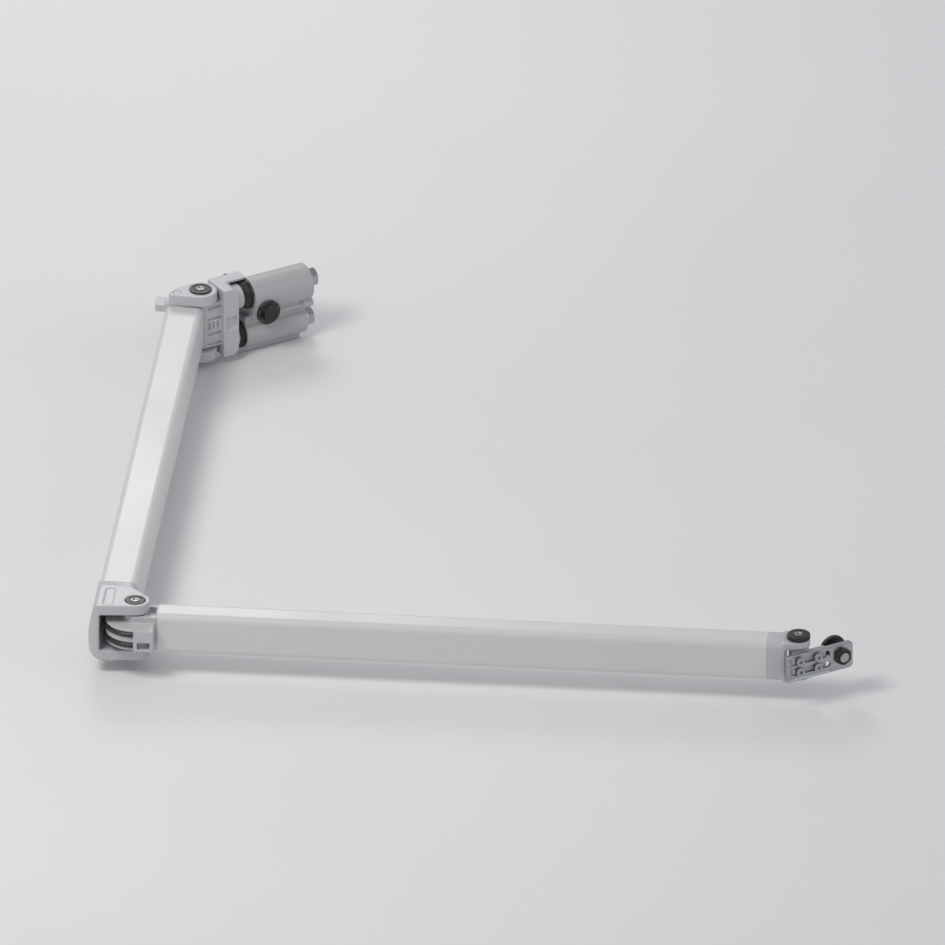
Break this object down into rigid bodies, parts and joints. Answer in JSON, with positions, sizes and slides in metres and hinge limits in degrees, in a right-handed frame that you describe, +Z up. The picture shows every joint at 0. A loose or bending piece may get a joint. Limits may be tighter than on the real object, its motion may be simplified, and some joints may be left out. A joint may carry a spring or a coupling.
{
  "type": "gate opener arm",
  "caption": "Folding arm of hollow tubes hinged at a wall bracket, a sprung cable elbow and a clamp plate, to swing a panel or carry a rail.",
  "frame": {"origin": "where the mounting bolt's axis crosses the wall bracket's back face", "axes": "+Y into the wall along the mounting bolt, +X along the wall away from the arm, +Z up along the pivot pins"},
  "size_m": [0.768, 1.2311, 0.1006],
  "materials": {
    "bracket_casting": "satin light grey powder coat on a casting",
    "casting": "satin light grey powder coat on a casting",
    "arm_tube": "smooth off-white powder coat on an extrusion",
    "black_steel": "black oxide",
    "bolt_steel": "turned stainless steel",
    "pin_steel": "ground steel",
    "rivet_metal": "plain aluminium",
    "plate_metal": "zinc plated plate",
    "bush_plastic": "black moulded polymer",
    "cable_sheath": "black sheath over steel cable"
  },
  "bodies": {
    "bracket": {"wall_bracket": "bracket_casting", "upper_spacer": "black_steel", "lower_spacer": "black_steel", "shoulder_block": "casting", "block_bolts": "bolt_steel", "block_bolt_washers": "bolt_steel", "mounting_bolt": "black_steel", "mounting_washer": "black_steel", "shoulder_bushes": "bush_plastic"},
    "upper_arm": {"shoulder_fork": "casting", "shoulder_pin": "pin_steel", "shoulder_pin_clip": "black_steel", "upper_tube": "arm_tube", "upper_rivets": "rivet_metal", "anchor_plate": "plate_metal", "tension_rod": "bolt_steel", "rod_nut": "bolt_steel", "tension_spring": "black_steel", "elbow_fork": "casting", "elbow_pin": "pin_steel", "elbow_pin_clip": "black_steel"},
    "yoke": {"cable_yoke": "plate_metal", "cable_runs": "cable_sheath"},
    "forearm": {"elbow_knuckle": "casting", "elbow_bushes": "bush_plastic", "drum_cables": "cable_sheath", "fore_tube": "arm_tube", "fore_rivets": "rivet_metal", "wrist_fork": "casting", "wrist_pin": "pin_steel", "wrist_pin_clip": "black_steel"},
    "front_bracket": {"wrist_eye": "casting", "wrist_bushes": "bush_plastic", "front_plate": "plate_metal", "plate_screws": "bolt_steel", "rail_bolt": "bolt_steel", "rail_disc": "black_steel", "rail_nut": "black_steel"}
  },
  "joints": [
    {"name": "shoulder_hinge", "type": "hinge", "parent": "bracket", "child": "upper_arm", "pos_m": [-0.08, -0.055, -0.005], "axis": [0, 0, 1], "range_deg": [-50, 41]},
    {"name": "elbow_hinge", "type": "hinge", "parent": "upper_arm", "child": "forearm", "pos_m": [-0.54936, -0.71153, -0.005], "axis": [0, 0, 1], "range_deg": [-62, 66], "deforming": ["drum_cables"]},
    {"name": "yoke_slide", "type": "slide", "parent": "upper_arm", "child": "yoke", "axis": [-0.5906, -0.807, 0], "range_m": [-0.0389, 0.0414], "deforming": ["tension_spring", "cable_runs"]},
    {"name": "wrist_hinge", "type": "hinge", "parent": "forearm", "child": "front_bracket", "pos_m": [0.10031, -1.17837, -0.005], "axis": [0, 0, 1], "range_deg": [-18, 44]}
  ],
  "couplings": [
    {"joint": "yoke_slide", "follows": "elbow_hinge", "m_per_rad": 0.0355}
  ]
}
